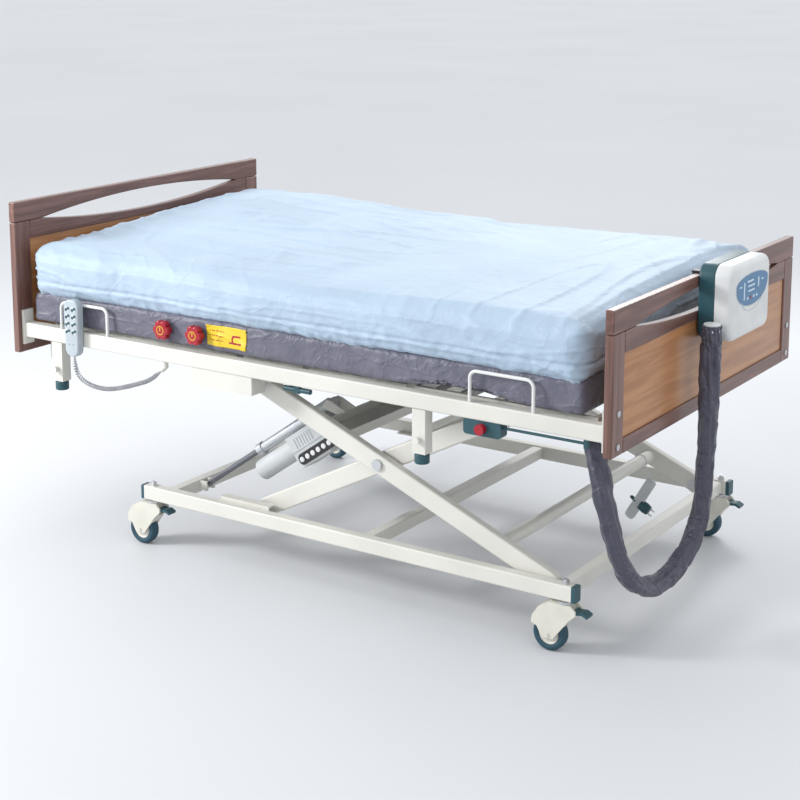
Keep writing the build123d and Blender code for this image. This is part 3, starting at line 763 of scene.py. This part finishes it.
def top_creases(x, y):
    """Wrinkles over the top: across the bed at its foot, and along it elsewhere."""
    foot = ramp_up(x, 0.1, 0.4)
    warp = 0.10 * noise.noise(Vector((x * 1.5, y * 1.5, 4.0)))
    across = ridges(Vector((x + warp, y * 0.22, 0.0)), (6.5, 6.5, 1), 7.0, 9)
    lengthways = ridges(Vector((x * 0.22 + 0.08 * y, y + warp, 0.0)), (8.0, 8.0, 1), 3.0, 9)
    slanted = ridges(Vector((x * 0.6 + 0.9 * y, y * 0.5 - x * 0.3, 0.0)), (5.0, 5.0, 1), 5.0, 12)
    strength = max(0.15, 0.55 + 0.9 * noise.noise(Vector((x * 1.3, y * 1.3, 12.0))))
    soft = 0.0030 * noise.noise(Vector((x * 6 + y * 2, y * 5, 2.0)))
    lines = foot * across + (1.15 - foot) * 0.8 * lengthways + 0.6 * slanted
    return strength * 0.0085 * lines + soft


def shape_cover(mesh):
    """Crown the top, and let the sides, their folds and the hem stand off the flat box."""
    middle_x = sum(MATTRESS_X) / 2
    half_x = (MATTRESS_X[1] - MATTRESS_X[0]) / 2
    for vertex in mesh.vertices:
        x, y, z = vertex.co
        share = ramp_up(z, COVER_HEM, COVER_TOP - COVER_HEM)
        near_y = ramp_up(abs(y), MATTRESS_Y - EDGE_ZONE, 0.045)
        near_x = ramp_up(abs(x - middle_x), half_x - EDGE_ZONE, 0.045)
        fade = 1 - ramp_up(z, COVER_TOP - 0.045, 0.045)
        bulge = side_bulge(x, y, z) * fade
        spare = max(0.0, KNOB_STRETCH[0] - x, x - KNOB_STRETCH[1])
        if y < 0:  # the valve knobs stand close to this stretch and sweep past it
            bulge -= KNOB_ROOM * max(0.0, 1 - spare / 0.08)
        vertex.co.y += (1 if y > 0 else -1) * near_y * bulge
        vertex.co.y = max(vertex.co.y, -MATTRESS_Y + COVER_INSET - 0.25 * spare)
        vertex.co.x += (1 if x > middle_x else -1) * near_x * bulge
        vertex.co.z += (cover_top(x, y) - COVER_TOP) * share**1.5
        vertex.co.z += top_creases(x, y) * ramp_up(z, COVER_TOP - 0.07, 0.05)
        if z < COVER_HEM + 0.012:
            hem = 0.006 * noise.noise(Vector((x * 4 + y * 4, y, 8.0)))
            vertex.co.z += hem - 0.012 * hump(x, 0, (MATTRESS_X[1], 0), (0.16, 9))


def puff(piece, frames, pressure, cap):
    """Let a closed cloth swell a little under pressure, with a limit on each point's move."""
    before = [vertex.co.copy() for vertex in piece.data.vertices]
    modifier = piece.modifiers.new("cloth", "CLOTH")
    settings = modifier.settings
    settings.use_pressure = True
    settings.uniform_pressure_force = pressure
    settings.effector_weights.gravity = 0
    settings.quality = 4
    settings.mass = 0.3
    settings.tension_stiffness = 12
    settings.compression_stiffness = 3
    settings.bending_stiffness = 0.08
    modifier.point_cache.frame_start = 1
    modifier.point_cache.frame_end = frames
    for number in range(1, frames + 1):
        scene.frame_set(number)
    graph = bpy.context.evaluated_depsgraph_get()
    after = piece.evaluated_get(graph).to_mesh()
    moved = [vertex.co.copy() for vertex in after.vertices]
    piece.evaluated_get(graph).to_mesh_clear()
    piece.modifiers.clear()
    scene.frame_set(1)
    for vertex, start, end in zip(piece.data.vertices, before, moved):
        step = end - start
        if step.length > cap:
            step = step.normalized() * cap
        vertex.co = start + step


def keep_normals(mesh, tree, normals):
    """Give a cut mesh the normals of the whole one, so that no line shows where two parts meet."""
    kept = []
    for vertex in mesh.vertices:
        blended = Vector((0, 0, 0))
        for _, index, distance in tree.find_n(vertex.co, 3):
            blended += normals[index] / (distance + 0.0002)
        kept.append(blended.normalized())
    mesh.normals_split_custom_set_from_vertices(kept)


def split_soft(piece, name, replaced):
    """Cut a soft layer across the bed at the listed cuts, and hide the CAD nodes that its parts replace.
    """
    normals = [normal.vector.copy() for normal in piece.data.vertex_normals]
    tree = kdtree.KDTree(len(normals))
    for index, vertex in enumerate(piece.data.vertices):
        tree.insert(vertex.co, index)
    tree.balance()
    for part, first, second, low, high in SOFT_PARTS:
        mesh = piece.data.copy()
        bm = bmesh.new()
        bm.from_mesh(mesh)
        for level, side in ((low, -1), (high, 1)):
            if level is not None:
                bmesh.ops.bisect_plane(
                    bm, geom=bm.verts[:] + bm.edges[:] + bm.faces[:], plane_co=(level, 0, 0),
                    plane_no=(side, 0, 0), clear_outer=True,
                )
                rim = [edge for edge in bm.edges if edge.is_boundary]
                bmesh.ops.holes_fill(bm, edges=rim, sides=0)
        bm.to_mesh(mesh)
        bm.free()
        made = add_object(f"{name}_{part}", mesh)
        keep_normals(mesh, tree, normals)
        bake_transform(made)
        for node in replaced.get(part, ()):
            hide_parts(node)
    bpy.data.objects.remove(piece)


SOFT_NODES = {
    "head": ("mattress_back",), "middle": ("mattress_seat", "mattress_thigh"), "foot": ("mattress_leg",)
}


def make_cover():
    bm = grid_box(
        (MATTRESS_X[0] + 0.004, -MATTRESS_Y + COVER_INSET, COVER_HEM),
        (MATTRESS_X[1] - 0.004, MATTRESS_Y - COVER_INSET, COVER_TOP),
        (0.0085, 0.0105, 0.0062), (0.035, 0.040, 0.036),
    )
    cover = from_bmesh("cover", bm, COVER)
    puff(cover, frames=9, pressure=3.0, cap=0.005)
    shape_cover(cover.data)
    split_soft(cover, "mattress_cover", SOFT_NODES)


def base_bulge(x, y, z):
    """How far the grey side stands out from its flat place."""
    pucker = noise.noise(Vector((x * 22 + y * 22, z * 9, 4.0)))
    sag = noise.noise(Vector((x * 4 + y * 4, 1.0, 6.0)))
    slanted = x + 1.1 * (z - MATTRESS_LOW)
    crease = ridges(Vector((slanted, y, z * 0.4)), (11, 11, 11), 4.0)
    sharp = ridges(Vector((slanted * 0.8, y, z * 0.9)), (17, 17, 17), 9.0, 10)
    return 0.0030 * pucker + 0.005 * sag + 0.0050 * crease + 0.0035 * sharp - 0.006


def shape_base(mesh):
    for vertex in mesh.vertices:
        x, y, z = vertex.co
        out = 1 if y > 0 else -1
        if abs(y) > MATTRESS_Y - 0.05:
            vertex.co.y += out * base_bulge(x, y, z)
        if z < 0.72:
            sag = noise.noise(Vector((x * 4 + y * 4, 1.0, 6.0)))
            vertex.co.z += max(0.0, 0.022 * hump(x, 0, (0.60, 0), (0.14, 9)) + 0.003 * sag)


def make_base():
    bm = grid_box(
        (MATTRESS_X[0], -MATTRESS_Y + BASE_INSET, MATTRESS_LOW + 0.001),
        (MATTRESS_X[1] - 0.002, MATTRESS_Y - BASE_INSET, COVER_HEM + 0.014),
        (0.010, 0.020, 0.0075), (0.02, 0.016, 0.018),
    )
    base = from_bmesh("base", bm, BASE_CLOTH)
    shape_base(base.data)
    split_soft(base, "mattress_base", {})


make_cover()
make_base()


# -------- label
LABEL_X = (-0.304, -0.148)
LABEL_Z = (0.722, 0.787)
LABEL_STAND_OFF = 0.0016


def make_label():
    """A stitched-on label with a plain pictogram in place of its print."""
    columns, rows = 52, 22
    bm = bmesh.new()

    def place(i, j):
        x = LABEL_X[0] + (LABEL_X[1] - LABEL_X[0]) * i / columns
        y = -MATTRESS_Y + BASE_INSET
        z = LABEL_Z[0] + (LABEL_Z[1] - LABEL_Z[0]) * j / rows
        return bm.verts.new((x, y - base_bulge(x, y, z) - LABEL_STAND_OFF, z))

    grid = [[place(i, j) for j in range(rows + 1)] for i in range(columns + 1)]
    for i in range(columns):
        for j in range(rows):
            face = bm.faces.new((grid[i][j], grid[i + 1][j], grid[i + 1][j + 1], grid[i][j + 1]))
            bar = 30 <= i < 46 and 5 <= j < 7
            raised = 34 <= i < 36 and 7 <= j < 14 or 36 <= i < 44 and 12 <= j < 14
            rule = 4 < i < 24 and j in (6, 11, 16) and (i * 7 + j) % 5
            face.material_index = 1 if bar or raised or rule else 0
    label = from_bmesh("yellow_label", bm, YELLOW)
    label.data.materials.append(RED)
    thicken = label.modifiers.new("thick", "SOLIDIFY")
    thicken.thickness = 0.0008
    thicken.offset = 0
    apply_modifiers(label)
    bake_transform(label)


make_label()


# -------- air pump
PUMP_CORNER = 0.034
PUMP_ARCH = 0.010
PANEL_CENTRE = (0.034, 0.985)
# Bars on the control panel: y, z, width and height
PUMP_KEYS = (
    (-0.026, 0.966, 0.007, 0.052), (0.078, 0.978, 0.008, 0.030), (0.018, 0.990, 0.046, 0.005),
    (0.026, 0.976, 0.050, 0.005), (0.026, 0.962, 0.046, 0.005), (-0.052, 0.982, 0.018, 0.004),
    (0.108, 0.982, 0.014, 0.004),
)


def pump_shell(name, low, high, back, front, material):
    """A rounded slab whose top edge falls away towards its sides."""
    box_low, box_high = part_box("pump_front_shell")
    centre = ((box_low.y + box_high.y) / 2, (box_low.z + box_high.z) / 2)
    size = (box_high.y - box_low.y, box_high.z - box_low.z)
    rings = []
    for level, inset in rounded_layers(low, high, back, front):
        ring = []
        outline = rounded_rectangle(
            centre, (size[0] - 2 * inset, size[1] - 2 * inset), max(0.006, PUMP_CORNER - inset), 8
        )
        for y, z in outline:
            share = (y - centre[0]) / (size[0] / 2)
            if z > centre[1]:
                z -= PUMP_ARCH * share * share
            ring.append((level, y, z))
        rings.append(ring)
    bm = bmesh.new()
    ring_stack(bm, rings)
    piece = from_bmesh(name, bm, material)
    smooth_by_angle(piece)
    return piece


def panel_outline(grow, count=28):
    """The lens-shaped control panel, as (y, z) points."""
    centre_y, centre_z = PANEL_CENTRE
    half = 0.116 + grow
    points = []
    for i in range(count + 1):
        angle = pi * i / count
        points.append((centre_y + half * cos(angle), centre_z + (0.026 + grow) * sin(angle)))
    for i in range(1, count):
        angle = pi * i / count
        points.append((centre_y - half * cos(angle), centre_z - (0.066 + grow) * sin(angle) ** 0.8))
    return points


def make_pump():
    rear_low, rear_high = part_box("pump_rear_shell")
    front_low, front_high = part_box("pump_front_shell")
    rear = pump_shell("pump_rear", rear_low.x, rear_high.x - 0.0008, 0.006, 0.002, DARK_TEAL)
    front = pump_shell("pump_front", front_low.x, front_high.x, 0.003, 0.018, WHITE)
    face = front_high.x
    bezel = prism("pump_bezel", panel_outline(0.0035), "x", face - 0.002, face + 0.0006, PALE_GREY, 0.0005)
    panel = prism("pump_panel", panel_outline(0), "x", face - 0.001, face + 0.0014, PANEL_BLUE, 0.0004)
    keys = bmesh.new()
    lamps = bmesh.new()
    for y, z, wide, tall in PUMP_KEYS:
        outline = rounded_rectangle((y, z), (wide, tall), min(wide, tall) * 0.45, 4)
        add_prism(keys, outline, "x", face, face + 0.0022)
    for number in range(4):
        add_prism(
            lamps if number == 1 else keys, circle((0.022 * number, 0.942), 0.0048, 20),
            "x", face, face + 0.0024,
        )
    key_piece = bevelled(from_bmesh("pump_keys", keys, PANEL_LIGHT), 0.0004, 2)
    lamp_piece = bevelled(from_bmesh("pump_lamp", lamps, RED), 0.0004, 2)
    arc = [
        (face + 0.0004, PANEL_CENTRE[0] - 0.088 * cos(pi * i / 8), 0.976 - 0.074 * sin(pi * i / 8) ** 0.7)
        for i in range(1, 8)
    ]
    trim = wire("pump_trim", arc, 0.0013, PALE_GREY)
    for piece, node, slot in (
        (rear, "pump_rear_shell", "dark_teal"), (front, "pump_front_shell", "white_plastic"),
        (bezel, None, "grey_plastic"), (panel, None, "dark_teal"), (key_piece, None, "white_plastic"),
        (lamp_piece, None, "red_plastic"), (trim, None, "grey_plastic"),
    ):
        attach(piece, "upper_frame")
        if node:
            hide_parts(node)


make_pump()


# -------- handset
def make_handset():
    low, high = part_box("handset_body")
    centre = ((low.x + high.x) / 2, (low.z + high.z) / 2)
    size = (high.x - low.x, high.z - low.z)
    rings = []
    for level, inset in rounded_layers(high.y, low.y, 0.005, 0.006):
        outline = rounded_rectangle(centre, (size[0] - 2 * inset, size[1] - 2 * inset), 0.024 - inset, 8)
        ring = []
        for x, z in outline:
            waist = 1 - 0.07 * sin(pi * ramp_up(z, low.z, size[1])) ** 2
            lower = 1 - 0.14 * max(0.0, (centre[1] - z) / size[1]) * 2
            ring.append((centre[0] + (x - centre[0]) * waist * lower, level, z))
        rings.append(ring)
    bm = bmesh.new()
    ring_stack(bm, rings)
    body = from_bmesh("handset_shell", bm, HANDSET)
    smooth_by_angle(body)
    keys = bmesh.new()
    icons = bmesh.new()
    for row in range(4):
        for side in (-1, 1):
            x = centre[0] + side * 0.0135
            z = high.z - 0.030 - 0.0245 * row
            outline = rounded_rectangle((x, z), (0.020, 0.018), 0.006, 5)
            add_prism(keys, outline, "y", low.y - 0.0011, low.y)
            for dx, dz in ((-0.0046, -0.0026), (0.0046, 0.0026)):
                add_prism(icons, circle((x + dx, z + dz), 0.0052, 18), "y", low.y - 0.0016, low.y)
    for x in (-0.008, 0.008):
        outline = rounded_rectangle((centre[0] + x, low.z + 0.040), (0.006, 0.0022), 0.001, 3)
        add_prism(icons, outline, "y", low.y - 0.0006, low.y)
    key_piece = bevelled(from_bmesh("handset_keys", keys, PALE_GREY), 0.0005, 2)
    icon_piece = bevelled(from_bmesh("handset_icons", icons, DARK_TEAL), 0.0003, 2)
    for piece, slot in ((body, "handset_grey"), (key_piece, "handset_grey"), (icon_piece, "dark_teal")):
        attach(piece, "upper_frame")
    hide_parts("handset_body")


make_handset()


# -------- valve knobs
LOBE_DEPTH = 0.0065


def make_valve_knob(number):
    """A knob with six lobes, a ring mark and a pointer."""
    low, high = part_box(f"valve_knob_{number}")
    centre = ((low.x + high.x) / 2, (low.z + high.z) / 2)
    radius = (high.x - low.x) / 2
    rings = []
    for level, inset in rounded_layers(high.y, low.y, 0.002, 0.006):
        ring = []
        for i in range(96):
            angle = 2 * pi * i / 96
            reach = radius - LOBE_DEPTH * (1 - abs(cos(3 * angle))) ** 1.5 - inset
            ring.append((centre[0] + reach * cos(angle), level, centre[1] + reach * sin(angle)))
        rings.append(ring)
    bm = bmesh.new()
    ring_stack(bm, rings)
    knob = from_bmesh(f"lobed_knob_{number}", bm, RED)
    smooth_by_angle(knob)
    mark = turned(
        f"knob_ring_{number}", [(0, 0.0118), (0, 0.0142), (0.0009, 0.0140), (0.0009, 0.0120)],
        (centre[0], low.y + 0.0002, centre[1]), (0, -1, 0), YELLOW,
    )
    outline = rounded_rectangle((centre[0], centre[1] + 0.004), (0.003, 0.012), 0.0014, 3)
    pointer = prism(f"knob_pointer_{number}", outline, "y", low.y - 0.0008, low.y + 0.0005, YELLOW, 0.0002)
    for piece in (knob, mark, pointer):
        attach(piece, f"valve_{number}")
    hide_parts(f"valve_knob_{number}")


for knob_number in (1, 2):
    make_valve_knob(knob_number)


# -------- casters
# Half outlines of the tyre and the hub: shares of half the width and of the radius
TREAD = ((0.75, 0.60), (0.92, 0.66), (1.0, 0.80), (0.94, 0.925), (0.70, 0.985), (0.30, 1.0))
HUB = ((0.95, 0.13), (0.95, 0.30), (0.80, 0.35), (0.62, 0.50), (0.72, 0.58), (0.80, 0.62))


def make_wheel(number):
    low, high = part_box(f"caster_wheel_{number}")
    centre = (low + high) / 2
    half = (high.y - low.y) / 2
    radius = (high.z - low.z) / 2

    def both_sides(outline):
        near = [(half * a, radius * b) for a, b in outline]
        return near + [(-half * a, radius * b) for a, b in reversed(outline)]

    tyre = turned(f"tyre_{number}", both_sides(TREAD), centre, (0, 1, 0), TYRE)
    hub = turned(f"hub_{number}", both_sides(HUB), centre, (0, 1, 0), CASTER_CREAM)
    for piece, slot in ((tyre, "caster_tyre"), (hub, "caster_cream")):
        smooth_by_angle(piece, 50)
        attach(piece, f"wheel_{number}")
        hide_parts(f"caster_wheel_{number}")


for wheel_number in CORNERS:
    make_wheel(wheel_number)


# -------- lift control box
BOX_START = Vector((-0.487, 0, 0.182))
BOX_ALONG = Vector((0.81690, 0, 0.57683))
BOX_DOWN = Vector((BOX_ALONG.z, 0, -BOX_ALONG.x))
BOX_FACE = -0.429


def on_box(along, down, y):
    return BOX_START + BOX_ALONG * along + BOX_DOWN * down + Vector((0, y, 0))


def box_plate(bm, along, down, size, radius, low, high):
    """A rounded plate on the control box's near face, turned to lie along it."""
    outline = rounded_rectangle((along, down), size, radius, 5)
    ring_stack(bm, [[on_box(a, d, y) for a, d in outline] for y in (low, high)])


def make_control_box():
    strip = bmesh.new()
    box_plate(strip, 0.512, 0.104, (0.158, 0.036), 0.015, BOX_FACE + 0.002, BOX_FACE - 0.005)
    strip_piece = bevelled(from_bmesh("socket_strip", strip, BLACK), 0.0015)
    plugs = bmesh.new()
    for number in range(6):
        place = on_box(0.449 + 0.025 * number, 0.104, BOX_FACE - 0.004)
        lathe(plugs, disc(0.0085, 0.0045, 0.0012), place, (0, -1, 0), 24)
    plug_piece = from_bmesh("cable_plugs", plugs, WHITE)
    smooth_by_angle(plug_piece)
    vents = bmesh.new()
    for number in range(7):
        along = 0.450 + 0.012 * number
        box_plate(vents, along, 0.052, (0.005, 0.034), 0.002, BOX_FACE + 0.001, BOX_FACE - 0.0008)
    vent_piece = bevelled(from_bmesh("box_vents", vents, GREY), 0.0004, 2)
    seam = bmesh.new()
    box_plate(seam, 0.512, 0.0745, (0.178, 0.003), 0.0012, BOX_FACE + 0.001, BOX_FACE - 0.0012)
    seam_piece = bevelled(from_bmesh("box_seam", seam, GREY), 0.0003, 2)
    for piece, slot in (
        (strip_piece, "black_plastic"), (plug_piece, "white_plastic"), (vent_piece, "grey_plastic"),
        (seam_piece, "grey_plastic"),
    ):
        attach(piece, "lift_motor")


make_control_box()


# -------- stored mains plug
HOLDER_TOP = Vector((0.730, 0.420, 0.195))
HOLDER_DOWN = Vector((-0.5046, 0, -0.8633))
HOLDER_OUT = Vector((-HOLDER_DOWN.z, 0, HOLDER_DOWN.x))
TIE_TUBE = Vector((0.6855, 0.420, 0.2529))
TIE_RADIUS = 0.0215
PLUG_PROFILE = (
    (0.010, 0.0002), (0.010, 0.017), (0.030, 0.0185), (0.044, 0.0165), (0.047, 0.013), (0.047, 0.0002),
)
CABLE_END_PROFILE = ((0.008, 0.0002), (0.008, 0.008), (0.030, 0.0055), (0.034, 0.0002))
PRONG_PROFILE = ((0.044, 0.0002), (0.044, 0.0022), (0.062, 0.0022), (0.064, 0.0002))


def make_plug_holder():
    """A flat holder that hangs by a wire from the tie tube, with the mains plug pushed into it."""
    plate = bmesh.new()
    outline = rounded_rectangle((0.082, 0.0), (0.165, 0.034), 0.013, 6)
    edge = [HOLDER_TOP + HOLDER_DOWN * along + HOLDER_OUT * across for along, across in outline]
    ring_stack(plate, [[point + Vector((0, y, 0)) for point in edge] for y in (-0.007, 0.007)])
    plate_piece = bevelled(from_bmesh("plug_holder", plate, PALE_GREY), 0.0018)
    plug = bmesh.new()
    middle = HOLDER_TOP + HOLDER_DOWN * 0.098
    lathe(plug, PLUG_PROFILE, middle, HOLDER_OUT, 32)
    lathe(plug, CABLE_END_PROFILE, middle, -HOLDER_OUT, 24)
    plug_piece = from_bmesh("mains_plug", plug, DARK_TEAL)
    smooth_by_angle(plug_piece)
    prongs = bmesh.new()
    for offset in (-0.0095, 0.0095):
        lathe(prongs, PRONG_PROFILE, middle + HOLDER_DOWN * offset, HOLDER_OUT, 16)
    prong_piece = from_bmesh("plug_prongs", prongs, STEEL)
    smooth_by_angle(prong_piece)
    loop = [HOLDER_TOP + HOLDER_DOWN * 0.006 + Vector((0, 0.008, 0))]
    for step in range(9):
        angle = radians(-45 + 250 * step / 8)
        loop.append(TIE_TUBE + Vector((cos(angle), 0, sin(angle))) * (TIE_RADIUS + 0.002))
    loop.append(HOLDER_TOP + HOLDER_DOWN * 0.006 + Vector((0, -0.008, 0)))
    loop_piece = wire("holder_wire", loop, 0.0014, STEEL)
    for piece, slot in (
        (plate_piece, "grey_plastic"), (plug_piece, "dark_teal"), (prong_piece, "steel"),
        (loop_piece, "steel"),
    ):
        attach(piece, "outer_arms")


make_plug_holder()


# -------- floor and light
FLOOR_HALF = 60


def make_stage():
    """A pale floor, a bright even surround and two soft lights."""
    mesh = bpy.data.meshes.new("floor")
    square = [(x * FLOOR_HALF, y * FLOOR_HALF, 0) for x, y in ((-1, -1), (1, -1), (1, 1), (-1, 1))]
    mesh.from_pydata(square, [], [(0, 1, 2, 3)])
    made = Nodes("floor", 0.55)
    made.colour(made.noise(0.4, 2), [(0.3, (0.60, 0.61, 0.635)), (0.7, (0.63, 0.64, 0.66))])
    floor = add_object("floor", mesh, made.material)
    world = bpy.data.worlds.new("world")
    scene.world = world
    world.use_nodes = True
    world.node_tree.nodes["Background"].inputs["Color"].default_value = (0.95, 0.975, 1.0, 1)
    world.node_tree.nodes["Background"].inputs["Strength"].default_value = 1.12
    for name, place, aim, size, power in (
        ("key", (-3.6, -3.4, 2.6), (-0.3, 0, 0.7), 1.3, 205),
        ("back", (-0.8, 3.4, 3.0), (0, 0, 0.8), 1.6, 55),
    ):
        data = bpy.data.lights.new(name, "AREA")
        data.shape = "DISK"
        data.size = size
        data.energy = power
        light = bpy.data.objects.new(name, data)
        scene.collection.objects.link(light)
        light.location = place
        light.rotation_euler = (Vector(aim) - Vector(place)).to_track_quat("-Z", "Y").to_euler()
    scene.view_settings.view_transform = "Standard"


make_stage()

bpy.context.view_layer.update()
